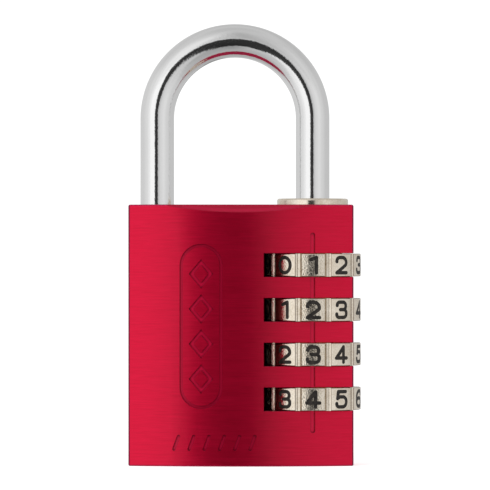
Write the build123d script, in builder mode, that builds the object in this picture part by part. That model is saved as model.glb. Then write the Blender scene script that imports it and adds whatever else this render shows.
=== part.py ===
"""Combination padlock: a solid case, a round-rod shackle and four number dials on the shackle's heel.

Origin at the centre of the case's underside, +Z up along the legs, front face towards -Y. Millimetres.

The heel runs down through four code sleeves, one for each dial. Every sleeve has one inner tooth, which
stands in a ring groove of the heel and lets it rise only where the heel's long slot passes the tooth.
"""

import os
from math import cos, radians, sin

from build123d import *

# ---- Case ----
CASE_WIDTH = 40.0
CASE_HEIGHT = 46.4
CASE_MIDDLE_HALF_DEPTH = 8.16
CASE_SIDE_HALF_DEPTH = 5.4
CASE_TOP_HALF_DEPTH = 6.75
BEVEL_REACH = 3.0
CASE_CORNER_RADIUS = 0.5
CASE_RIM_RADIUS = 0.3
CASE_TOP_RADIUS = 0.35
LIP_CHAMFER = 0.08

# ---- Shackle ----
ROD_RADIUS = 3.0
LEG_SPACING = 27.75
HEEL_X = 12.8
TOE_X = HEEL_X - LEG_SPACING
BOW_CENTRE_Z = 61.8
TOE_DEPTH = 6.5
TOE_CHAMFER = 0.6
RUNNING_CLEARANCE = 0.06

# ---- Dials ----
DIAL_COUNT = 4
DIGIT_COUNT = 10
DIAL_PITCH = 7.92
LOWEST_DIAL_Z = 11.9
DIAL_RADIUS = 8.6
DIAL_HEIGHT = 4.06
DIAL_RIM_RADIUS = 0.2
DIAL_GAP = 0.12
SLOT_HEIGHT = 4.18
SLOT_END_X = 4.03
VALLEY_DEPTH = 0.4
VALLEY_HALF_WIDTH = 0.69
VALLEY_FLOOR_HALF_WIDTH = 0.22

# ---- Digits ----
STROKE = 0.64
GLYPH_HALF_HEIGHT = 1.35
ZERO_HALF_WIDTH = 1.13
ENGRAVING_DEPTH = 0.3
INK_RECESS = 0.05

# ---- Bore, sleeves and what else turns or presses inside ----
BORE_RADIUS = 5.35
SLEEVE_RADIUS = 5.25
SLEEVE_BELOW = 3.1
SLEEVE_PLAY = 0.03
TOOTH_WIDTH = 1.1
INNER_TOOTH_RADIUS = 2.2
INNER_TOOTH_RISE = 3.2
INNER_TOOTH_HEIGHT = 1.4
OUTER_TOOTH_RADIUS = 5.8
OUTER_TOOTH_RISE = 0.2
OUTER_TOOTH_HEIGHT = 1.6
TOOTH_GAP = 0.3
NOTCH_RADIUS = 5.9
NOTCH_WIDTH = 1.3
RELIEF_RADIUS = 5.95
HEEL_BOTTOM = 4.6
GROOVE_ROOT_RADIUS = 2.1
HEEL_SLOT_WIDTH = 1.6
CLIP_BOTTOM = 5.0
CLIP_THICKNESS = 0.6
CLIP_RADIUS = 4.1
CLIP_ROOT_RADIUS = 2.4
CLIP_PLAY = 0.05
CLIP_CHAMBER_RADIUS = 4.3
SPRING_RADIUS = 4.85
SPRING_WIRE = 0.7
SPRING_TURNS = 4
SPRING_GAP = 0.03
THRUST_RING_HEIGHT = 0.9
PLUG_RADIUS = 5.9
PLUG_HEIGHT = 2.0
PLUG_GAP = 0.02
PLUG_CHAMFER = 0.25
PLUG_DIMPLE_RADIUS = 0.9
PLUG_DIMPLE_DEPTH = 0.5
COLLAR_RADIUS = 6.35
COLLAR_HEIGHT = 1.1
COLLAR_EDGE_RADIUS = 0.4
SPIGOT_RADIUS = 4.55
SPIGOT_HOLE_RADIUS = 4.6

# ---- Toe hole and detents ----
TOE_HOLE_RADIUS = 3.1
TOE_HOLE_DEPTH = 7.5
DETENT_HALF_LENGTH = 2.8
DETENT_THICKNESS = 0.2
DETENT_HEIGHT = 3.6
DETENT_GAP = 0.1
POCKET_END_X = 2.7
POCKET_LENGTH = 2.0
POCKET_HALF_LENGTH = 3.1

# ---- Marks on the front face ----
MARK_DEPTH = 0.35
INDEX_X = 12.71
INDEX_WIDTH = 0.86
INDEX_BOTTOM = 5.9
INDEX_TOP = 41.4
PANEL_X = -7.05
PANEL_Z = 24.8
PANEL_WIDTH = 7.6
PANEL_LENGTH = 29.2
PANEL_LINE = 0.55
LOZENGE_COUNT = 4
LOZENGE_PITCH = 6.2
LOZENGE_WIDTH = 4.4
LOZENGE_LENGTH = 5.2
LOZENGE_INNER_SHARE = 0.58
HATCH_COUNT = 6
HATCH_X = -4.7
HATCH_Z = 4.2
HATCH_PITCH = 2.7
HATCH_LENGTH = 3.0
HATCH_WIDTH = 0.6
HATCH_SLANT = 20.0

BOW_RADIUS = LEG_SPACING / 2
LIFT = DIAL_PITCH
DIAL_LEVELS = [LOWEST_DIAL_Z + DIAL_PITCH * (DIAL_COUNT - 1 - place) for place in range(DIAL_COUNT)]
SLEEVES_BOTTOM = LOWEST_DIAL_Z - SLEEVE_BELOW
BORE_TOP = SLEEVES_BOTTOM + DIAL_COUNT * DIAL_PITCH
HEEL_AXIS = Axis((HEEL_X, 0, 0), (0, 0, 1))

os.makedirs("parts", exist_ok=True)


def save(part, name):
    """Labels a finished piece and writes it under its own name."""
    part.label = name
    export_step(part, f"parts/{name}.step")


def lens(inset=0.0):
    """The case seen from above: straight sides, convex front and back, drawn in by the inset."""
    middle = CASE_MIDDLE_HALF_DEPTH - inset
    side = CASE_SIDE_HALF_DEPTH - inset
    half = CASE_WIDTH / 2
    with BuildSketch() as outline:
        with BuildLine():
            ThreePointArc((-half, -side), (0, -middle), (half, -side))
            Line((half, -side), (half, side))
            ThreePointArc((half, side), (0, middle), (-half, side))
            Line((-half, side), (-half, -side))
        make_face()
    return outline.sketch


def tube(outer, inner):
    """A ring-shaped profile about the plane's own origin."""
    with BuildSketch() as ring:
        Circle(outer)
        Circle(inner, mode=Mode.SUBTRACT)
    return ring.sketch


def level(height, x=HEEL_X):
    """The horizontal plane at a height, centred on the heel's axis unless another x is given."""
    return Plane((x, 0, height), x_dir=(1, 0, 0), z_dir=(0, 0, 1))


# ---- Digits: round-ended strokes of one width ----
def stroke(*points, radii=None):
    """A round-ended stroke along straight runs, its corners rounded where radii are given."""
    with BuildSketch() as drawn:
        with BuildLine():
            if radii:
                FilletPolyline(*points, radius=radii)
            else:
                Polyline(*points)
            offset(amount=STROKE / 2, side=Side.BOTH, mode=Mode.REPLACE)
        make_face()
    return drawn.sketch


def loop(half_width, half_height, y=0.0):
    """A closed rounded loop of one stroke, its ends as round as they can be."""
    outer_end = 0.99 * (min(half_width, half_height) + STROKE / 2)
    inner_end = 0.97 * (min(half_width, half_height) - STROKE / 2)
    with BuildSketch() as drawn:
        with Locations((0, y)):
            RectangleRounded(2 * half_width + STROKE, 2 * half_height + STROKE, outer_end)
            RectangleRounded(
                2 * half_width - STROKE, 2 * half_height - STROKE, inner_end, mode=Mode.SUBTRACT
            )
    return drawn.sketch


def zero():
    """The oval ring of a nought."""
    with BuildSketch() as drawn:
        Ellipse(ZERO_HALF_WIDTH + STROKE / 2, GLYPH_HALF_HEIGHT + STROKE / 2)
        Ellipse(ZERO_HALF_WIDTH - STROKE / 2, GLYPH_HALF_HEIGHT - STROKE / 2, mode=Mode.SUBTRACT)
    return drawn.sketch


def digit_shapes(digit):
    """The strokes of one digit, about the middle of its cell."""
    top = GLYPH_HALF_HEIGHT
    if digit == 0:
        return [zero()]
    if digit == 1:
        return [stroke((-0.5, 0.93), (0.55, top), (0.55, -top))]
    if digit == 2:
        swan = stroke(
            (-1.02, 0.62), (-1.02, top), (1.05, top), (1.05, 0.12), (-1.05, -top),
            radii=[0.62, 0.95, 0.6],
        )
        return [swan, stroke((-1.05, -top), (1.08, -top))]
    if digit == 3:
        return [
            stroke(
                (-0.95, 0.78), (-0.95, top), (0.93, top), (0.93, 0.03), (-0.3, 0.03),
                radii=[0.5, 0.62, 0.6],
            ),
            stroke(
                (-0.3, 0.03), (1.05, 0.03), (1.05, -top), (-1.05, -top), (-1.05, -0.75),
                radii=[0.6, 0.65, 0.5],
            ),
        ]
    if digit == 4:
        return [stroke((0.4, -top), (0.4, top)), stroke((0.4, top), (-1.12, -0.62), (1.12, -0.62))]
    if digit == 5:
        return [
            stroke((0.9, top), (-0.72, top), (-0.88, 0.12)),
            stroke(
                (-0.88, 0.12), (-0.45, 0.42), (1.05, 0.42), (1.05, -top), (-1.05, -top), (-1.05, -0.75),
                radii=[0.4, 0.8, 0.85, 0.5],
            ),
        ]
    if digit == 6:
        hook = stroke((0.92, 0.85), (0.92, top), (-1.05, top), (-1.05, -0.6), radii=[0.42, 1.0])
        return [hook, loop(1.05, 0.72, 0.72 - top)]
    if digit == 7:
        return [stroke((-1.05, top), (1.05, top), (-0.3, -top))]
    if digit == 8:
        return [loop(0.92, top / 2 - 0.03, top / 2 + 0.03), loop(1.05, top / 2 + 0.03, 0.03 - top / 2)]
    return [shape.rotate(Axis.Z, 180) for shape in digit_shapes(6)]


# ---- Case ----
with BuildPart() as front_marks:
    with BuildSketch(Plane.XZ.offset(CASE_MIDDLE_HALF_DEPTH + 1)):
        with Locations((INDEX_X, (INDEX_BOTTOM + INDEX_TOP) / 2)):
            SlotOverall(INDEX_TOP - INDEX_BOTTOM, INDEX_WIDTH, rotation=90)
        with Locations((PANEL_X, PANEL_Z)):
            SlotOverall(PANEL_LENGTH, PANEL_WIDTH, rotation=90)
            SlotOverall(
                PANEL_LENGTH - 2 * PANEL_LINE, PANEL_WIDTH - 2 * PANEL_LINE, rotation=90, mode=Mode.SUBTRACT
            )
            with GridLocations(0, LOZENGE_PITCH, 1, LOZENGE_COUNT):
                for shrink, mode in ((1.0, Mode.ADD), (LOZENGE_INNER_SHARE, Mode.SUBTRACT)):
                    across = shrink * LOZENGE_WIDTH / 2
                    along = shrink * LOZENGE_LENGTH / 2
                    Polygon((across, 0), (0, along), (-across, 0), (0, -along), mode=mode)
        with Locations((HATCH_X, HATCH_Z)):
            with GridLocations(HATCH_PITCH, 0, HATCH_COUNT, 1):
                SlotOverall(HATCH_LENGTH, HATCH_WIDTH, rotation=90 - HATCH_SLANT)
    extrude(amount=-CASE_MIDDLE_HALF_DEPTH)
    with BuildSketch():
        add(lens())
        add(lens(MARK_DEPTH), mode=Mode.SUBTRACT)
    extrude(amount=CASE_HEIGHT, mode=Mode.INTERSECT)

with BuildPart() as case:
    with BuildSketch():
        add(lens())
    extrude(amount=CASE_HEIGHT)
    fillet(case.edges().filter_by(Axis.Z), radius=CASE_CORNER_RADIUS)
    fillet(case.faces().sort_by(Axis.Z)[0].edges(), radius=CASE_RIM_RADIUS)
    # The slope along the top of the front and the back, at 45 degrees.
    with BuildSketch(Plane.YZ):
        for side in (1, -1):
            with BuildLine():
                Polyline(
                    (side * CASE_TOP_HALF_DEPTH, CASE_HEIGHT),
                    (side * (CASE_TOP_HALF_DEPTH + BEVEL_REACH), CASE_HEIGHT - BEVEL_REACH),
                    (side * (CASE_TOP_HALF_DEPTH + BEVEL_REACH), CASE_HEIGHT + BEVEL_REACH),
                    (side * CASE_TOP_HALF_DEPTH, CASE_HEIGHT + BEVEL_REACH),
                    close=True,
                )
            make_face()
    extrude(amount=CASE_WIDTH, both=True, mode=Mode.SUBTRACT)
    fillet(case.faces().sort_by(Axis.Z)[-1].edges(), radius=CASE_TOP_RADIUS)
    # The slots for the dials: straight at the front and the right, round behind, with the leaf's pocket.
    for height in DIAL_LEVELS:
        with BuildSketch(level(height - SLOT_HEIGHT / 2)):
            Circle(DIAL_RADIUS + DIAL_GAP)
            Rectangle(CASE_WIDTH, CASE_WIDTH, align=(Align.MIN, Align.CENTER))
            with Locations((SLOT_END_X - HEEL_X, 0)):
                Rectangle(CASE_WIDTH, CASE_WIDTH, align=(Align.MIN, Align.MAX))
            with Locations((POCKET_END_X - HEEL_X, 0)):
                Rectangle(POCKET_LENGTH, 2 * POCKET_HALF_LENGTH, align=(Align.MIN, Align.CENTER))
        extrude(amount=SLOT_HEIGHT, mode=Mode.SUBTRACT)
    for height in DIAL_LEVELS:
        for lip in (height - SLOT_HEIGHT / 2, height + SLOT_HEIGHT / 2):
            lip_edges = case.edges().filter_by_position(Axis.Z, lip - LIP_CHAMFER / 2, lip + LIP_CHAMFER / 2)
            outer_edges = lip_edges.filter_by_position(Axis.X, HEEL_X, CASE_WIDTH)
            chamfer(outer_edges, length=LIP_CHAMFER)
    # The bore for the sleeves, its keyway, the plug's seat and the collar's seat.
    with BuildSketch(level(0)):
        Circle(BORE_RADIUS)
        Rectangle(NOTCH_WIDTH, NOTCH_RADIUS, align=(Align.CENTER, Align.MIN))
    extrude(amount=BORE_TOP, mode=Mode.SUBTRACT)
    with BuildSketch(level(0)):
        Circle(PLUG_RADIUS)
    extrude(amount=PLUG_HEIGHT, mode=Mode.SUBTRACT)
    with BuildSketch(level(BORE_TOP)):
        Circle(SPIGOT_HOLE_RADIUS)
    extrude(amount=CASE_HEIGHT - BORE_TOP, mode=Mode.SUBTRACT)
    # The blind hole for the toe.
    with BuildSketch(level(CASE_HEIGHT - TOE_HOLE_DEPTH, TOE_X)):
        Circle(TOE_HOLE_RADIUS)
    extrude(amount=TOE_HOLE_DEPTH, mode=Mode.SUBTRACT)
    add(front_marks.part, mode=Mode.SUBTRACT)
save(case.part, "case")


# ---- Shackle ----
with BuildPart() as shackle:
    with BuildLine(Plane.XZ) as bent_line:
        Line((TOE_X, CASE_HEIGHT - TOE_DEPTH), (TOE_X, BOW_CENTRE_Z))
        ThreePointArc(
            (TOE_X, BOW_CENTRE_Z), (TOE_X + BOW_RADIUS, BOW_CENTRE_Z + BOW_RADIUS), (HEEL_X, BOW_CENTRE_Z)
        )
        Line((HEEL_X, BOW_CENTRE_Z), (HEEL_X, HEEL_BOTTOM))
    with BuildSketch(level(CASE_HEIGHT - TOE_DEPTH, TOE_X)):
        Circle(ROD_RADIUS)
    sweep(path=bent_line.line)
    chamfer(shackle.faces().filter_by(Axis.Z).edges(), length=TOE_CHAMFER)
    # A ring groove for every sleeve's tooth, one more for the lowest tooth when lifted, and the clip's.
    with BuildSketch(Plane.XZ):
        groove_height = INNER_TOOTH_HEIGHT + 2 * TOOTH_GAP
        for height in [*DIAL_LEVELS, LOWEST_DIAL_Z - DIAL_PITCH]:
            with Locations((HEEL_X + GROOVE_ROOT_RADIUS, height + INNER_TOOTH_RISE - TOOTH_GAP)):
                Rectangle(ROD_RADIUS, groove_height, align=(Align.MIN, Align.MIN))
        with Locations((HEEL_X + CLIP_ROOT_RADIUS, CLIP_BOTTOM - CLIP_PLAY)):
            Rectangle(ROD_RADIUS, CLIP_THICKNESS + 2 * CLIP_PLAY, align=(Align.MIN, Align.MIN))
    revolve(axis=HEEL_AXIS, mode=Mode.SUBTRACT)
    # The long slot that the teeth run in once every sleeve stands at its number.
    with BuildSketch(level(0)):
        with Locations((0, GROOVE_ROOT_RADIUS)):
            Rectangle(HEEL_SLOT_WIDTH, ROD_RADIUS, align=(Align.CENTER, Align.MIN))
    extrude(amount=DIAL_LEVELS[0] + INNER_TOOTH_RISE + INNER_TOOTH_HEIGHT + TOOTH_GAP, mode=Mode.SUBTRACT)
save(shackle.part, "shackle")

with BuildPart() as retaining_ring:
    with BuildSketch(level(CLIP_BOTTOM)):
        add(tube(CLIP_RADIUS, CLIP_ROOT_RADIUS + CLIP_PLAY))
        with BuildLine():
            Polyline((0, 0), (-CLIP_RADIUS, -2 * CLIP_RADIUS), (CLIP_RADIUS, -2 * CLIP_RADIUS), close=True)
        make_face(mode=Mode.SUBTRACT)
    extrude(amount=CLIP_THICKNESS)
save(retaining_ring.part, "retaining_ring")


# ---- Fixed pieces in and on the case ----
with BuildPart() as guide_collar:
    with BuildSketch(level(CASE_HEIGHT)):
        Circle(COLLAR_RADIUS)
    extrude(amount=COLLAR_HEIGHT)
    fillet(guide_collar.faces().sort_by(Axis.Z)[-1].edges(), radius=COLLAR_EDGE_RADIUS)
    with BuildSketch(level(CASE_HEIGHT)):
        Circle(SPIGOT_RADIUS)
    extrude(amount=BORE_TOP - CASE_HEIGHT)
    with BuildSketch(level(BORE_TOP)):
        Circle(ROD_RADIUS + RUNNING_CLEARANCE)
    extrude(amount=CASE_HEIGHT, mode=Mode.SUBTRACT)
save(guide_collar.part, "guide_collar")

with BuildPart() as bottom_plug:
    with BuildSketch(level(0)):
        Circle(PLUG_RADIUS - PLUG_GAP)
    extrude(amount=PLUG_HEIGHT)
    chamfer(bottom_plug.faces().sort_by(Axis.Z)[0].edges(), length=PLUG_CHAMFER)
    with BuildSketch(level(0)):
        Circle(PLUG_DIMPLE_RADIUS)
    extrude(amount=PLUG_DIMPLE_DEPTH, mode=Mode.SUBTRACT)
save(bottom_plug.part, "bottom_plug")

thrust_ring_bottom = SLEEVES_BOTTOM - THRUST_RING_HEIGHT - SLEEVE_PLAY
with BuildPart() as thrust_ring:
    with BuildSketch(level(thrust_ring_bottom)):
        add(tube(SLEEVE_RADIUS - RUNNING_CLEARANCE, CLIP_CHAMBER_RADIUS))
    extrude(amount=THRUST_RING_HEIGHT)
save(thrust_ring.part, "thrust_ring")

spring_bottom = PLUG_HEIGHT + SPRING_WIRE / 2 + SPRING_GAP
spring_top = thrust_ring_bottom - SPRING_WIRE / 2 - SPRING_GAP
with BuildPart() as reset_spring:
    with BuildLine() as coil:
        Helix(
            (spring_top - spring_bottom) / SPRING_TURNS,
            spring_top - spring_bottom,
            SPRING_RADIUS,
            center=(HEEL_X, 0, spring_bottom),
        )
    with BuildSketch(Plane(coil.line @ 0, z_dir=coil.line % 0)):
        Circle(SPRING_WIRE / 2)
    sweep(path=coil.line, is_frenet=True)
save(reset_spring.part, "reset_spring")

with BuildPart() as detent_leaf:
    with BuildSketch():
        with BuildLine():
            back_x = POCKET_END_X + DETENT_THICKNESS
            nose_x = HEEL_X - DIAL_RADIUS - DETENT_GAP
            ThreePointArc((back_x, -DETENT_HALF_LENGTH), (nose_x, 0), (back_x, DETENT_HALF_LENGTH))
            offset(amount=DETENT_THICKNESS, side=Side.LEFT)
        make_face()
    extrude(amount=DETENT_HEIGHT / 2, both=True)

for place, height in enumerate(DIAL_LEVELS, start=1):
    with BuildPart() as detent_spring:
        with Locations((0, 0, height)):
            add(detent_leaf.part)
    save(detent_spring.part, f"detent_spring_{place}")


# ---- Dials: made about the origin with the nought in front, then turned and set on the heel ----
def cell_plane(digit):
    """The upright plane just outside a digit's cell, its x to the reader's right."""
    angle = radians(-90 + digit * 360 / DIGIT_COUNT)
    out = (cos(angle), sin(angle))
    return Plane(
        (out[0] * (DIAL_RADIUS + 1), out[1] * (DIAL_RADIUS + 1), 0),
        x_dir=(-out[1], out[0], 0),
        z_dir=(out[0], out[1], 0),
    )


with BuildPart() as digit_prisms:
    for digit in range(DIGIT_COUNT):
        with BuildSketch(cell_plane(digit)):
            for shape in digit_shapes(digit):
                add(shape)
        extrude(amount=-(1 + 2 * ENGRAVING_DEPTH + STROKE))

with BuildPart() as engraving:
    add(digit_prisms.part)
    with BuildSketch(Plane.XY.offset(-DIAL_HEIGHT / 2)):
        add(tube(DIAL_RADIUS + 0.5, DIAL_RADIUS - ENGRAVING_DEPTH))
    extrude(amount=DIAL_HEIGHT, mode=Mode.INTERSECT)

with BuildPart() as enamel:
    add(digit_prisms.part)
    with BuildSketch(Plane.XY.offset(-DIAL_HEIGHT / 2)):
        add(tube(DIAL_RADIUS - INK_RECESS, DIAL_RADIUS - ENGRAVING_DEPTH))
    extrude(amount=DIAL_HEIGHT, mode=Mode.INTERSECT)

with BuildPart() as dial:
    with BuildSketch():
        Circle(DIAL_RADIUS)
    extrude(amount=DIAL_HEIGHT / 2, both=True)
    fillet(dial.edges().filter_by(GeomType.CIRCLE), radius=DIAL_RIM_RADIUS)
    # The valleys between the cells.
    with BuildSketch(Plane.XY.offset(-DIAL_HEIGHT / 2)):
        with PolarLocations(DIAL_RADIUS - VALLEY_DEPTH, DIGIT_COUNT, start_angle=90 + 180 / DIGIT_COUNT):
            mouth = 2 * VALLEY_HALF_WIDTH - VALLEY_FLOOR_HALF_WIDTH
            Polygon(
                (0, -VALLEY_FLOOR_HALF_WIDTH),
                (2 * VALLEY_DEPTH, -mouth),
                (2 * VALLEY_DEPTH, mouth),
                (0, VALLEY_FLOOR_HALF_WIDTH),
                align=None,
            )
    extrude(amount=DIAL_HEIGHT, mode=Mode.SUBTRACT)
    # The bore, ten notches for the sleeve's tooth in the upper half, and a wider lower half.
    with BuildSketch(Plane.XY.offset(-DIAL_HEIGHT / 2)):
        Circle(BORE_RADIUS)
        with PolarLocations(BORE_RADIUS, DIGIT_COUNT, start_angle=90):
            Rectangle(2 * (NOTCH_RADIUS - BORE_RADIUS), NOTCH_WIDTH)
    extrude(amount=DIAL_HEIGHT, mode=Mode.SUBTRACT)
    with BuildSketch(Plane.XY.offset(-DIAL_HEIGHT / 2)):
        Circle(RELIEF_RADIUS)
    extrude(amount=DIAL_HEIGHT / 2, mode=Mode.SUBTRACT)
    add(engraving.part, mode=Mode.SUBTRACT)

for place, height in enumerate(DIAL_LEVELS, start=1):
    on_heel = Location((HEEL_X, 0, height), (0, 0, -place * 360 / DIGIT_COUNT))
    with BuildPart() as number_dial:
        with Locations(on_heel):
            add(dial.part)
    save(number_dial.part, f"number_dial_{place}")
    with BuildPart() as dial_ink:
        with Locations(on_heel):
            add(enamel.part)
    save(dial_ink.part, f"dial_ink_{place}")


# ---- Code sleeves ----
for place, height in enumerate(DIAL_LEVELS, start=1):
    with BuildPart() as code_sleeve:
        with BuildSketch(level(height - SLEEVE_BELOW + SLEEVE_PLAY)):
            add(tube(SLEEVE_RADIUS, ROD_RADIUS + RUNNING_CLEARANCE))
        extrude(amount=DIAL_PITCH - 2 * SLEEVE_PLAY)
        with BuildSketch(level(height + INNER_TOOTH_RISE)):
            with Locations((0, INNER_TOOTH_RADIUS)):
                inner_length = (ROD_RADIUS + SLEEVE_RADIUS) / 2 - INNER_TOOTH_RADIUS
                Rectangle(TOOTH_WIDTH, inner_length, align=(Align.CENTER, Align.MIN))
        extrude(amount=INNER_TOOTH_HEIGHT)
        with BuildSketch(level(height + OUTER_TOOTH_RISE)):
            with Locations((0, OUTER_TOOTH_RADIUS)):
                outer_length = OUTER_TOOTH_RADIUS - (ROD_RADIUS + SLEEVE_RADIUS) / 2
                Rectangle(TOOTH_WIDTH, outer_length, align=(Align.CENTER, Align.MAX))
        extrude(amount=OUTER_TOOTH_HEIGHT)
        if height == LOWEST_DIAL_Z:
            # The lowest sleeve has the chamber that the clip rises into, whose ceiling stops the lift.
            with BuildSketch(level(SLEEVES_BOTTOM)):
                Circle(CLIP_CHAMBER_RADIUS)
            chamber_top = CLIP_BOTTOM + CLIP_THICKNESS + LIFT + CLIP_PLAY
            extrude(amount=chamber_top - SLEEVES_BOTTOM, mode=Mode.SUBTRACT)
    save(code_sleeve.part, f"code_sleeve_{place}")
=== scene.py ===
"""Looks of the combination padlock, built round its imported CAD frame. Metres, +Z up, front to -Y."""

import math

import bmesh
import bpy
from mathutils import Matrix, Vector


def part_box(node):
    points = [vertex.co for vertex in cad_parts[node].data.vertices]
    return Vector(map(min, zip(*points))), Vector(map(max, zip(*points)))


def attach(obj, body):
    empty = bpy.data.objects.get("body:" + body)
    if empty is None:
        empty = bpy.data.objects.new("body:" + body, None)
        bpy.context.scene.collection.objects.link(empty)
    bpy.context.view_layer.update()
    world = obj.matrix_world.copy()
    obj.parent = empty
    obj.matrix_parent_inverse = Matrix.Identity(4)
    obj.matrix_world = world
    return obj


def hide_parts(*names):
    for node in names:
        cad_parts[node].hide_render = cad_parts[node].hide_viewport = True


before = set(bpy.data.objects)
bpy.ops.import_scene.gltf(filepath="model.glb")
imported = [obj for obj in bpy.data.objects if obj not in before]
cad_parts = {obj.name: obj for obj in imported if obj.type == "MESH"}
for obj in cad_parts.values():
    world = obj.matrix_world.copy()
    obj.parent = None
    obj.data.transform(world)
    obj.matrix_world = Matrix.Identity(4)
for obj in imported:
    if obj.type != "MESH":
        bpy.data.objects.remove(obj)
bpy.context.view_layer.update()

DIALS = range(1, 5)
SHACKLE_LOW, SHACKLE_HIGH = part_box("shackle")

# The rod, how deep its toe stands in the case, and the ring grooves and the long slot of its heel.
ROD = 0.003
TOE_DEPTH = 0.0065
TOE_CHAMFER = 0.0006
GROOVE_ROOT = 0.0021
GROOVE_ABOVE_DIAL = (0.0029, 0.0049)
CLIP_GROOVE = (0.00495, 0.00565)
CLIP_ROOT = 0.0024
SLOT_HALF_WIDTH = 0.0008

# How finely the shackle is divided: across the slot's floor, round the rest of the rod, along the bow.
FLOOR_STEPS = 8
ROUND_STEPS = 88
BOW_STEPS = 120

# The front of the case is part of a large upright cylinder. Its marks are cut this deep.
LENS_RADIUS = 0.073846
LENS_CENTRE_Y = 0.065686
MARK_DEPTH = 0.00035

# How far a face of the case leans: a bevel or an end by the Z of its normal, a rounded edge by its X.
BEVEL_TILT = (0.25, 0.6)
END_TILT = (0.6, 0.9)
EDGE_TILT = (0.5, 0.9)

# Where the walls of the dial slots lie: behind the front of the case, across it and up it.
SLOT_WALLS_BEHIND = (0.0006, 0.0075)
SLOT_WALLS_ACROSS = (0.0035, 0.0195)
SLOT_WALLS_UP = (0.0075, 0.040)

# A dial's rim, and the depth of the valleys between its digits.
DIAL_RADIUS = 0.0086
VALLEY_DEPTH = 0.0004


# ---- Object and mesh helpers ----
def new_object(name, data):
    """A shown object that holds this mesh, light or camera."""
    made = bpy.data.objects.new(name, data)
    bpy.context.scene.collection.objects.link(made)
    return made


def smooth_by_angle(mesh, degrees=30.0):
    """Shades a mesh smooth, and keeps its edges sharp where two faces meet at more than this angle."""
    limit = math.radians(degrees)
    work = bmesh.new()
    work.from_mesh(mesh)
    for face in work.faces:
        face.smooth = True
    for edge in work.edges:
        edge.smooth = len(edge.link_faces) == 2 and edge.calc_face_angle() < limit
    work.to_mesh(mesh)
    work.free()


def ring_skin(name, rings):
    """A closed skin over rings of points, its first and last ring capped."""
    work = bmesh.new()
    rows = [[work.verts.new(point) for point in ring] for ring in rings]
    count = len(rows[0])
    for lower, upper in zip(rows, rows[1:]):
        for i in range(count):
            j = (i + 1) % count
            work.faces.new((lower[i], lower[j], upper[j], upper[i]))
    work.faces.new(list(reversed(rows[0])))
    work.faces.new(rows[-1])
    bmesh.ops.recalc_face_normals(work, faces=work.faces)
    mesh = bpy.data.meshes.new(name)
    work.to_mesh(mesh)
    work.free()
    smooth_by_angle(mesh)
    return new_object(name, mesh)


# ---- Node helpers ----
class Nodes:
    """A node tree, and short ways to add to it."""

    def __init__(self, tree):
        self.tree = tree

    def node(self, kind, **settings):
        """A new node, with these settings."""
        made = self.tree.nodes.new(kind)
        for key, value in settings.items():
            setattr(made, key, value)
        return made

    def link(self, source, target):
        self.tree.links.new(source, target)

    def maths(self, operation, first, second=0.0, clamp=False):
        """One operation on linked values or plain numbers."""
        made = self.node("ShaderNodeMath", operation=operation, use_clamp=clamp)
        for place, value in enumerate((first, second)):
            if isinstance(value, (int, float)):
                made.inputs[place].default_value = value
            else:
                self.link(value, made.inputs[place])
        return made.outputs[0]

    def split(self, vector):
        """The X, Y and Z of a linked vector."""
        made = self.node("ShaderNodeSeparateXYZ")
        self.link(vector, made.inputs[0])
        return made.outputs["X"], made.outputs["Y"], made.outputs["Z"]


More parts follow.
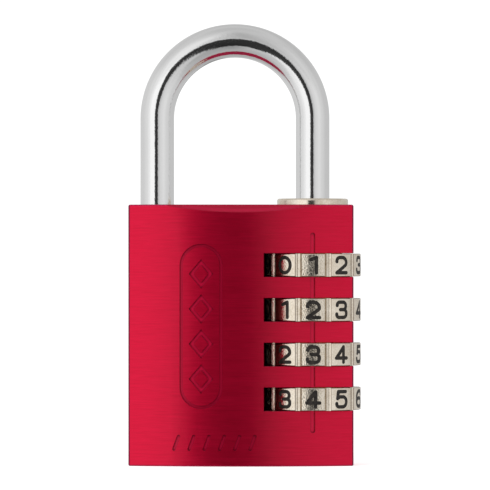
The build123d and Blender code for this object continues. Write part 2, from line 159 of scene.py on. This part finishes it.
class Recipe(Nodes):
    """One procedural material: its nodes and links, and the shader that they feed."""

    def __init__(self, name, colour, metallic, roughness, **sockets):
        self.material = bpy.data.materials.new(name)
        self.material.use_nodes = True
        super().__init__(self.material.node_tree)
        self.shader = self.tree.nodes["Principled BSDF"]
        self.set("Base Color", (*colour, 1.0))
        self.set("Metallic", metallic)
        self.set("Roughness", roughness)
        for socket, value in sockets.items():
            self.set(socket.replace("_", " "), value)
        self.coordinates = self.node("ShaderNodeTexCoord").outputs["Object"]

    def set(self, socket, value):
        """Sets one of the shader's own sockets."""
        self.shader.inputs[socket].default_value = value

    def feed(self, source, socket):
        """Links a value into one of the shader's sockets."""
        self.link(source, self.shader.inputs[socket])

    def vector_maths(self, operation, first, second):
        """One operation on linked vectors or plain ones."""
        made = self.node("ShaderNodeVectorMath", operation=operation)
        for place, value in enumerate((first, second)):
            if isinstance(value, tuple):
                made.inputs[place].default_value = value
            else:
                self.link(value, made.inputs[place])
        return made.outputs["Vector"]

    def noise(self, per_metre, detail=3.0, roughness=0.55):
        """A noise field, with this many features to the metre along X, Y and Z."""
        stretched = self.vector_maths("MULTIPLY", self.coordinates, per_metre)
        made = self.node("ShaderNodeTexNoise")
        made.inputs["Scale"].default_value = 1.0
        made.inputs["Detail"].default_value = detail
        made.inputs["Roughness"].default_value = roughness
        self.link(stretched, made.inputs["Vector"])
        return made.outputs["Fac"]

    def remap(self, source, low, high, new_low, new_high):
        """A value carried from one range to another, and held at its ends."""
        made = self.node("ShaderNodeMapRange")
        for place, limit in enumerate((low, high, new_low, new_high), start=1):
            made.inputs[place].default_value = limit
        self.link(source, made.inputs["Value"])
        return made.outputs["Result"]

    def blend_colours(self, share, dark, light):
        """A colour between two plain ones, by a share from 0 to 1."""
        made = self.node("ShaderNodeMix", data_type="RGBA")
        made.inputs["A"].default_value = (*dark, 1.0)
        made.inputs["B"].default_value = (*light, 1.0)
        self.link(share, made.inputs["Factor"])
        return made.outputs["Result"]

    def toward(self, share, start, colour):
        """A linked colour drawn towards a plain one, by a share from 0 to 1."""
        made = self.node("ShaderNodeMix", data_type="RGBA")
        self.link(start, made.inputs["A"])
        made.inputs["B"].default_value = (*colour, 1.0)
        self.link(share, made.inputs["Factor"])
        return made.outputs["Result"]

    def band(self, source, low, high, soft):
        """1 between two limits, and 0 a little way outside them."""
        rising = self.remap(source, low - soft, low, 0.0, 1.0)
        return self.maths("MULTIPLY", rising, self.remap(source, high, high + soft, 1.0, 0.0))

    def distance_from(self, x, y):
        """The distance from an upright axis, and the direction away from it."""
        from_axis = self.vector_maths("SUBTRACT", self.coordinates, (x, y, 0.0))
        outward = self.vector_maths("MULTIPLY", from_axis, (1.0, 1.0, 0.0))
        length = self.node("ShaderNodeVectorMath", operation="LENGTH")
        self.link(outward, length.inputs[0])
        return length.outputs["Value"], self.vector_maths("NORMALIZE", outward, (0.0, 0.0, 0.0))

    def bump(self, height, strength, distance):
        """A normal that follows a height field this many metres deep."""
        made = self.node("ShaderNodeBump")
        made.inputs["Strength"].default_value = strength
        made.inputs["Distance"].default_value = distance
        self.link(height, made.inputs["Height"])
        return made.outputs["Normal"]

    def crevice(self, reach, strength):
        """A share that grows in corners and grooves narrower than this reach."""
        made = self.node("ShaderNodeAmbientOcclusion", only_local=True, samples=12)
        made.inputs["Distance"].default_value = reach
        return self.maths("MULTIPLY", self.maths("SUBTRACT", 1.0, made.outputs["AO"]), strength, clamp=True)


# ---- Materials ----
def cut_marks(recipe, depth, outward, normal):
    """1 on the floors of the marks cut into the front of the case, and 0 elsewhere."""
    facing = recipe.node("ShaderNodeVectorMath", operation="DOT_PRODUCT")
    recipe.link(outward, facing.inputs[0])
    recipe.link(normal, facing.inputs[1])
    floors = recipe.band(depth, 0.6 * MARK_DEPTH, 1.7 * MARK_DEPTH, 0.3 * MARK_DEPTH)
    return recipe.maths("MULTIPLY", floors, recipe.maths("GREATER_THAN", facing.outputs["Value"], 0.7))


def slot_walls(recipe, depth):
    """1 on the walls of the dial slots, in the front half of the case, where shade is painted, and 0
    elsewhere.
    """
    soft = 0.0002
    across, _, up = recipe.split(recipe.coordinates)
    inside = recipe.band(depth, *SLOT_WALLS_BEHIND, soft)
    inside = recipe.maths("MULTIPLY", inside, recipe.band(across, *SLOT_WALLS_ACROSS, soft))
    return recipe.maths("MULTIPLY", inside, recipe.band(up, *SLOT_WALLS_UP, soft))


def red_anodised():
    """Aluminium brushed across and dyed crimson: streaked along the brushing, glossy up and down it. Shade
    is painted onto its ends, side edges, slot walls and corners, and light onto its bevels.
    """
    red = Recipe("red_anodised", (0.62, 0.006, 0.035), 1.0, 0.36, Coat_Weight=0.25, Coat_Roughness=0.16)
    red.set("Anisotropic", 0.78)
    normal = red.node("ShaderNodeNewGeometry").outputs["Normal"]
    red.feed(red.vector_maths("CROSS_PRODUCT", normal, (0.99, 0.14, 0.0)), "Tangent")
    reach, outward = red.distance_from(0.0, LENS_CENTRE_Y)
    depth = red.maths("SUBTRACT", LENS_RADIUS, reach)
    sideways, _, upward = red.split(normal)
    tilt = red.maths("ABSOLUTE", upward)

    # Where the colour differs: the marks' floors, cut lighter; the bevels, smoother and painted lighter;
    # and painted shade on the two ends, the rounded edges, the slots' walls and in the corners.
    marks = cut_marks(red, depth, outward, normal)
    # Partly real, partly painted light: the bevels are smoother, and their colour is painted lighter and
    # pinker, as lit.
    bevels = red.band(tilt, *BEVEL_TILT, 0.1)
    # Painted shade: the top and bottom faces coloured darker, picked by the Z of their normal.
    ends = red.remap(tilt, *END_TILT, 0.0, 1.0)
    # Painted shade: a dark line along the rounded side edges, picked by the X of their normal.
    edges = red.maths("MULTIPLY", red.band(red.maths("ABSOLUTE", sideways), *EDGE_TILT, 0.1), 0.8)
    # Painted shade: the walls of the dial slots are coloured dark, as if in shadow.
    walls = slot_walls(red, depth)
    # Painted shade: the colour is darkened in corners and grooves found by ambient occlusion.
    corners = red.crevice(0.0005, 1.1)

    coarse = red.noise((170.0, 300.0, 3000.0), detail=4.0)
    fine = red.noise((320.0, 600.0, 8000.0), detail=2.0)
    streaks = red.maths("ADD", red.maths("MULTIPLY", coarse, 0.5), red.maths("MULTIPLY", fine, 0.5))
    share = red.remap(streaks, 0.25, 0.75, 0.0, 1.0)
    colour = red.blend_colours(share, (0.68, 0.003, 0.036), (0.88, 0.007, 0.060))
    for place, finish in (
        (marks, (1.0, 0.012, 0.085)),
        (bevels, (0.74, 0.014, 0.095)),
        (ends, (0.50, 0.022, 0.075)),
        (edges, (0.14, 0.008, 0.05)),
        (walls, (0.26, 0.030, 0.045)),
        (corners, (0.10, 0.001, 0.007)),
    ):
        colour = red.toward(place, colour, finish)
    red.feed(colour, "Base Color")

    grain = red.remap(streaks, 0.3, 0.7, 0.33, 0.39)
    change = red.maths("SUBTRACT", red.maths("MULTIPLY", marks, 0.12), red.maths("MULTIPLY", bevels, 0.12))
    red.feed(red.maths("ADD", grain, change), "Roughness")
    red.feed(red.bump(streaks, 0.15, 0.00004), "Normal")
    return red.material


def chrome():
    """Polished chrome plate, clouded very faintly and with a very fine grain."""
    plate = Recipe("polished_chrome", (0.86, 0.865, 0.87), 1.0, 0.05)
    cloud = plate.noise((180.0, 180.0, 90.0), detail=3.0)
    plate.feed(plate.blend_colours(cloud, (0.82, 0.82, 0.82), (0.90, 0.90, 0.90)), "Base Color")
    plate.feed(plate.remap(cloud, 0.3, 0.7, 0.05, 0.10), "Roughness")
    grain = plate.noise((2500.0, 2500.0, 2500.0), detail=3.0, roughness=0.6)
    plate.feed(plate.bump(grain, 0.3, 0.00004), "Normal")
    return plate.material


def warm_nickel(name, grain, roughness, crevice_shade, axis=None):
    """Nickel plate over a cast surface: warm grey, with a fine pitted grain and brown painted shade in its
    corners.

    Round a dial's axis, brown painted shade also lines the valleys, at their rims and near their floors.
    """
    plate = Recipe(name, (0.70, 0.65, 0.57), 1.0, roughness)
    pits = plate.noise((3800.0, 3800.0, 3800.0), detail=2.0, roughness=0.6)
    cloud = plate.noise((420.0, 420.0, 420.0), detail=3.0)
    mottle = plate.maths("ADD", plate.maths("MULTIPLY", pits, 0.5), plate.maths("MULTIPLY", cloud, 0.5))
    share = plate.remap(mottle, 0.35, 0.65, 0.0, 1.0)
    metal = plate.blend_colours(share, (0.71, 0.61, 0.48), (0.95, 0.87, 0.75))
    # Painted shade: the metal is drawn to dark brown in corners and grooves found by ambient occlusion.
    shaded_metal = plate.toward(plate.crevice(0.0005, crevice_shade), metal, (0.14, 0.085, 0.05))
    if axis is not None:
        reach, _ = plate.distance_from(axis, 0.0)
        depth = plate.maths("SUBTRACT", DIAL_RADIUS, reach)
        # Painted shade: brown lines at the rims of the valleys and near their floors, by depth below the
        # rim.
        lips = plate.band(depth, 0.1 * VALLEY_DEPTH, 0.3 * VALLEY_DEPTH, 0.05 * VALLEY_DEPTH)
        corners = plate.band(depth, 0.85 * VALLEY_DEPTH, 0.96 * VALLEY_DEPTH, 0.03 * VALLEY_DEPTH)
        creases = plate.maths("MULTIPLY", plate.maths("ADD", lips, corners), 0.75)
        shaded_metal = plate.toward(creases, shaded_metal, (0.13, 0.075, 0.05))
    plate.feed(shaded_metal, "Base Color")
    plate.feed(plate.remap(pits, 0.3, 0.7, roughness * 0.8, roughness * 1.3), "Roughness")
    plate.feed(plate.bump(pits, grain, 0.00006), "Normal")
    return plate.material


def enamel():
    """Black enamel, nearly matt, wiped flush into the digits."""
    paint = Recipe("black_enamel", (0.022, 0.017, 0.014), 0.0, 0.5)
    paint.set("Specular IOR Level", 0.3)
    wiped = paint.noise((1500.0, 1500.0, 1500.0), detail=4.0, roughness=0.7)
    share = paint.remap(wiped, 0.4, 0.75, 0.0, 1.0)
    paint.feed(paint.blend_colours(share, (0.010, 0.008, 0.007), (0.04, 0.032, 0.026)), "Base Color")
    paint.feed(paint.remap(wiped, 0.3, 0.7, 0.4, 0.65), "Roughness")
    paint.feed(paint.bump(wiped, 0.2, 0.00005), "Normal")
    return paint.material


def turned(name, dark, light, roughness):
    """Metal turned on a lathe: fine rings across the axis."""
    metal = Recipe(name, light, 1.0, roughness)
    rings = metal.noise((120.0, 120.0, 5000.0), detail=2.0)
    metal.feed(metal.blend_colours(rings, dark, light), "Base Color")
    metal.feed(metal.remap(rings, 0.3, 0.7, roughness * 0.8, roughness * 1.25), "Roughness")
    metal.feed(metal.bump(rings, 0.15, 0.00003), "Normal")
    return metal.material


RED = red_anodised()
CHROME = chrome()
# The fourth number is the strength of the painted shade in corners.
DIAL_NICKEL = warm_nickel("dial_nickel", 0.8, 0.08, 2.6, axis=SHACKLE_HIGH[0] - ROD)
COLLAR_NICKEL = warm_nickel("collar_nickel", 0.08, 0.14, 0.5)
ENAMEL = enamel()
BRASS = turned("turned_brass", (0.55, 0.36, 0.14), (0.78, 0.58, 0.28), 0.25)
SPRING_STEEL = turned("spring_steel", (0.30, 0.30, 0.31), (0.52, 0.52, 0.54), 0.3)
PLUG_STEEL = turned("plug_steel", (0.48, 0.48, 0.49), (0.66, 0.66, 0.67), 0.28)

NODE_MATERIALS = {
    "case": RED,
    "shackle": CHROME,
    "guide_collar": COLLAR_NICKEL,
    "bottom_plug": PLUG_STEEL,
    "thrust_ring": BRASS,
    "reset_spring": SPRING_STEEL,
    "retaining_ring": SPRING_STEEL,
}
for place in DIALS:
    NODE_MATERIALS[f"number_dial_{place}"] = DIAL_NICKEL
    NODE_MATERIALS[f"dial_ink_{place}"] = ENAMEL
    NODE_MATERIALS[f"code_sleeve_{place}"] = BRASS
    NODE_MATERIALS[f"detent_spring_{place}"] = SPRING_STEEL
for node, material in NODE_MATERIALS.items():
    node_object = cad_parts[node]
    node_object.data.materials.clear()
    node_object.data.materials.append(material)
    for polygon in node_object.data.polygons:
        polygon.use_smooth = True


# ---- The shackle, finely divided so that its polish reflects without facets ----
def ring_angles():
    """Angles round the rod from +Y, close together at the slot's two walls."""
    wall = math.asin(SLOT_HALF_WIDTH / ROD)
    lip = wall + math.radians(0.4)
    floor_angles = [wall * (2 * step / FLOOR_STEPS - 1) for step in range(FLOOR_STEPS + 1)]
    rest = [lip + (2 * math.pi - 2 * lip) * step / ROUND_STEPS for step in range(ROUND_STEPS + 1)]
    return floor_angles + rest


def rod_ring(centre, outward, radius, slotted=False):
    """One ring of points round the rod. Outward points away from the middle of the bow."""
    points = []
    for angle in ring_angles():
        along_y = radius * math.cos(angle)
        if slotted and abs(math.sin(angle)) * ROD <= SLOT_HALF_WIDTH * 1.001:
            along_y = min(along_y, GROOVE_ROOT)
        points.append(centre + outward * (radius * math.sin(angle)) + Vector((0.0, along_y, 0.0)))
    return points


def heel_profile(top, bottom):
    """The heel from the bow down: pairs of height and radius, with a step at every groove."""
    levels = []
    for place in DIALS:
        low_corner, high_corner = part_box(f"number_dial_{place}")
        levels.append((low_corner[2] + high_corner[2]) / 2)
    levels.append(2 * levels[-1] - levels[-2])
    profile = [(top, ROD)]
    for height in levels:
        low, high = (height + offset for offset in GROOVE_ABOVE_DIAL)
        profile += [(high, ROD), (high, GROOVE_ROOT), (low, GROOVE_ROOT), (low, ROD)]
    clip_low, clip_high = CLIP_GROOVE
    profile += [(clip_high, ROD), (clip_high, CLIP_ROOT), (clip_low, CLIP_ROOT), (clip_low, ROD)]
    profile += [(bottom + TOE_CHAMFER, ROD), (bottom, ROD - TOE_CHAMFER)]
    return profile


def shackle():
    """The toe's leg, the bow, and the heel with its ring grooves and long slot, as one skin."""
    toe_x = SHACKLE_LOW[0] + ROD
    heel_x = SHACKLE_HIGH[0] - ROD
    bow_radius = (heel_x - toe_x) / 2
    bow_z = SHACKLE_HIGH[2] - ROD - bow_radius
    toe_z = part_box("case")[1][2] - TOE_DEPTH
    left, right = Vector((-1.0, 0.0, 0.0)), Vector((1.0, 0.0, 0.0))
    rings = [rod_ring(Vector((toe_x, 0.0, toe_z)), left, ROD - TOE_CHAMFER)]
    rings.append(rod_ring(Vector((toe_x, 0.0, toe_z + TOE_CHAMFER)), left, ROD))
    bow_centre = Vector(((toe_x + heel_x) / 2, 0.0, bow_z))
    for step in range(BOW_STEPS + 1):
        turn = math.pi * step / BOW_STEPS
        outward = Vector((-math.cos(turn), 0.0, math.sin(turn)))
        rings.append(rod_ring(bow_centre + outward * bow_radius, outward, ROD))
    profile = heel_profile(bow_z, SHACKLE_LOW[2])
    slot_top = profile[1][0]
    for height, radius in profile[1:]:
        slotted = height < slot_top or radius < ROD
        rings.append(rod_ring(Vector((heel_x, 0.0, height)), right, radius, slotted))
    made = ring_skin("shackle_rod", rings)
    made.data.materials.append(CHROME)
    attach(made, "shackle")
    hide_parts("shackle")


shackle()


# ---- Stage: floor, light and camera ----
def floor():
    """A plain pale floor, far wider than the view."""
    mesh = bpy.data.meshes.new("floor")
    reach = 6.0
    corners = [(-reach, -reach, 0), (reach, -reach, 0), (reach, reach, 0), (-reach, reach, 0)]
    mesh.from_pydata(corners, [], [(0, 1, 2, 3)])
    made = new_object("floor", mesh)
    pale = Recipe("pale_floor", (0.9, 0.9, 0.9), 0.0, 0.8, Emission_Strength=0.55)
    pale.set("Emission Color", (1.0, 1.0, 1.0, 1.0))
    cloud = pale.noise((3.0, 3.0, 3.0))
    pale.feed(pale.blend_colours(cloud, (0.89, 0.89, 0.89), (0.92, 0.92, 0.92)), "Base Color")
    made.data.materials.append(pale.material)
    made.visible_glossy = False


# The tent's brightness: by azimuth, where 0 is the front and 90 the right, and by elevation, in front
# and at the sides. The two are multiplied. Overhead and underfoot, where all azimuths meet, the crown's
# level stands in for the azimuth's.
AROUND = (
    (-180, 0.62), (-150, 0.68), (-110, 0.70), (-73, 0.80), (-57, 0.92), (-42, 1.07), (-18, 1.07),
    (4, 0.55), (12, 0.64), (22, 0.75), (45, 0.82), (70, 0.72), (100, 0.62), (140, 0.60), (180, 0.62),
)
OVER_FRONT = (
    (-90, 0.55), (-55, 0.52), (-36, 0.56), (-22, 0.85), (-8, 1.0),
    (14, 1.0), (21, 0.86), (30, 0.84), (56, 0.74), (90, 0.67),
)
OVER_SIDES = ((-90, 0.55), (-60, 0.60), (-20, 1.0), (20, 1.0), (60, 0.80), (90, 0.67))
CROWN = 0.84
BRIGHTEST = 1.1

# The degrees over which one gives way to the other: the azimuth's level to the crown's, with height,
# and the front's elevations to the sides', with azimuth. Near the poles the front's hold all round.
CROWN_FROM = (35.0, 75.0)
SIDES_FROM = (25.0, 90.0)
SIDES_UP_TO = (88.0, 60.0)

# The dark opening in front and the slit at the back: the degrees where each soft edge starts and ends.
# Below the horizon the opening's right side moves out by a share of the depth, up to a limit, and its
# top falls by a share of the azimuth.
OPENING_LEFT, OPENING_RIGHT = (-18.0, -15.0), (6.0, 3.0)
OPENING_TOP, OPENING_BOTTOM = (14.0, 10.0), (-38.0, -34.0)
RIGHT_SLANT, RIGHT_SLANT_LIMIT, TOP_SLANT = 0.5, 8.0, 0.2
SLIT_LEFT, SLIT_RIGHT, SLIT_TOP = (158.0, 161.0), (176.0, 173.0), (-1.0, -4.0)
OPENING_DARKNESS = 0.95

# How dark the slit is, as a share of the opening.
SLIT_SHARE = 0.55


class Tent(Nodes):
    """The world's nodes."""

    def product(self, *factors):
        """Linked values and plain numbers, multiplied together."""
        result = factors[0]
        for factor in factors[1:]:
            result = self.maths("MULTIPLY", result, factor)
        return result

    def edge(self, value, start, end):
        """0 at start, 1 at end, smooth between them."""
        made = self.node("ShaderNodeMapRange", interpolation_type="SMOOTHSTEP")
        made.inputs["From Min"].default_value = min(start, end)
        made.inputs["From Max"].default_value = max(start, end)
        made.inputs["To Min"].default_value = 0.0 if start < end else 1.0
        made.inputs["To Max"].default_value = 1.0 if start < end else 0.0
        self.link(value, made.inputs["Value"])
        return made.outputs["Result"]

    def gradient(self, value, stops):
        """A smooth grey level that follows these pairs of degrees and brightness."""
        first, last = stops[0][0], stops[-1][0]
        place = self.maths("DIVIDE", self.maths("SUBTRACT", value, first), last - first)
        made = self.node("ShaderNodeValToRGB")
        made.color_ramp.interpolation = "EASE"
        points = made.color_ramp.elements
        while len(points) < len(stops):
            points.new(0.5)
        for point, (degrees, level) in zip(points, stops):
            point.position = (degrees - first) / (last - first)
            point.color = (level / BRIGHTEST, level / BRIGHTEST, level / BRIGHTEST, 1.0)
        self.link(place, made.inputs["Fac"])
        return self.maths("MULTIPLY", made.outputs["Color"], BRIGHTEST)

    def blend(self, share, first, second):
        """The first value, drawn towards the second by a share from 0 to 1."""
        kept = self.maths("MULTIPLY", first, self.maths("SUBTRACT", 1.0, share))
        return self.maths("ADD", kept, self.maths("MULTIPLY", second, share))

    def dark(self, azimuth, elevation):
        """1 in the opening, whose right side and top slant, and a smaller share in the slit."""
        below = self.maths("MAXIMUM", self.maths("MULTIPLY", elevation, -1.0), 0.0)
        slant = self.maths("MINIMUM", self.maths("MULTIPLY", below, RIGHT_SLANT), RIGHT_SLANT_LIMIT)
        right_edge = self.maths("SUBTRACT", azimuth, slant)
        top_edge = self.maths("ADD", elevation, self.maths("MULTIPLY", azimuth, TOP_SLANT))
        opening = self.product(
            self.edge(azimuth, *OPENING_LEFT),
            self.edge(right_edge, *OPENING_RIGHT),
            self.edge(top_edge, *OPENING_TOP),
        )
        slit = self.product(
            self.edge(azimuth, *SLIT_LEFT),
            self.edge(azimuth, *SLIT_RIGHT),
            self.edge(elevation, *SLIT_TOP),
            SLIT_SHARE,
        )
        return self.product(self.maths("MAXIMUM", opening, slit), self.edge(elevation, *OPENING_BOTTOM))

    def cloth(self, azimuth, elevation):
        """The brightness of the tent's cloth."""
        height = self.maths("ABSOLUTE", elevation)
        upward = self.edge(height, *CROWN_FROM)
        around = self.blend(upward, self.gradient(azimuth, AROUND), CROWN)
        aside = self.edge(self.maths("ABSOLUTE", azimuth), *SIDES_FROM)
        aside = self.maths("MULTIPLY", aside, self.edge(height, *SIDES_UP_TO))
        over = self.blend(aside, self.gradient(elevation, OVER_FRONT), self.gradient(elevation, OVER_SIDES))
        return self.maths("MULTIPLY", around, over)


def studio_world():
    """A white tent with a dark opening in front, where the photographer stands, and a slit at the back."""
    world = bpy.data.worlds.new("studio")
    bpy.context.scene.world = world
    world.use_nodes = True
    tent = Tent(world.node_tree)
    x, y, z = tent.split(tent.node("ShaderNodeTexCoord").outputs["Generated"])
    to_degrees = 180.0 / math.pi
    azimuth = tent.maths("ARCTAN2", x, tent.maths("MULTIPLY", y, -1.0))
    azimuth = tent.maths("MULTIPLY", azimuth, to_degrees)
    elevation = tent.maths("MULTIPLY", tent.maths("ARCSINE", z), to_degrees)
    dark = tent.maths("MULTIPLY", tent.dark(azimuth, elevation), OPENING_DARKNESS)
    glow = tent.maths("MULTIPLY", tent.cloth(azimuth, elevation), tent.maths("SUBTRACT", 1.0, dark))

    # Seen directly, the backdrop is plain white.
    seen = tent.node("ShaderNodeMix", data_type="FLOAT")
    tent.link(tent.node("ShaderNodeLightPath").outputs["Is Camera Ray"], seen.inputs["Factor"])
    tent.link(glow, seen.inputs["A"])
    seen.inputs["B"].default_value = BRIGHTEST
    background = tent.tree.nodes["Background"]
    tent.link(seen.outputs["Result"], background.inputs["Strength"])
    background.inputs["Color"].default_value = (1.0, 1.0, 1.0, 1.0)


def softbox(name, place, target, width, height, watts):
    """A soft rectangular light, aimed at a point."""
    light = bpy.data.lights.new(name, "AREA")
    light.shape = "RECTANGLE"
    light.size = width
    light.size_y = height
    light.energy = watts
    made = new_object(name, light)
    made.location = place
    made.rotation_euler = (Vector(target) - Vector(place)).to_track_quat("-Z", "Y").to_euler()
    made.visible_glossy = False


def camera():
    """Level with the middle of the lock, straight in front of it, through a long lens."""
    middle_x, middle_z = 0.00072, 0.03922
    distance = 0.870
    field = 0.0875
    sensor = 36.0
    data = bpy.data.cameras.new("camera")
    data.sensor_width = sensor
    data.lens = sensor * distance / field
    data.clip_start = 0.01
    data.clip_end = 50.0
    made = new_object("camera", data)
    made.location = (middle_x, -distance, middle_z)
    made.rotation_euler = (math.radians(90.0), 0.0, 0.0)
    bpy.context.scene.camera = made


floor()
studio_world()
softbox("key", (-0.5, -0.7, 0.9), (0.0, 0.0, 0.04), 0.6, 0.6, 4.0)
camera()
bpy.context.scene.view_settings.view_transform = "Standard"
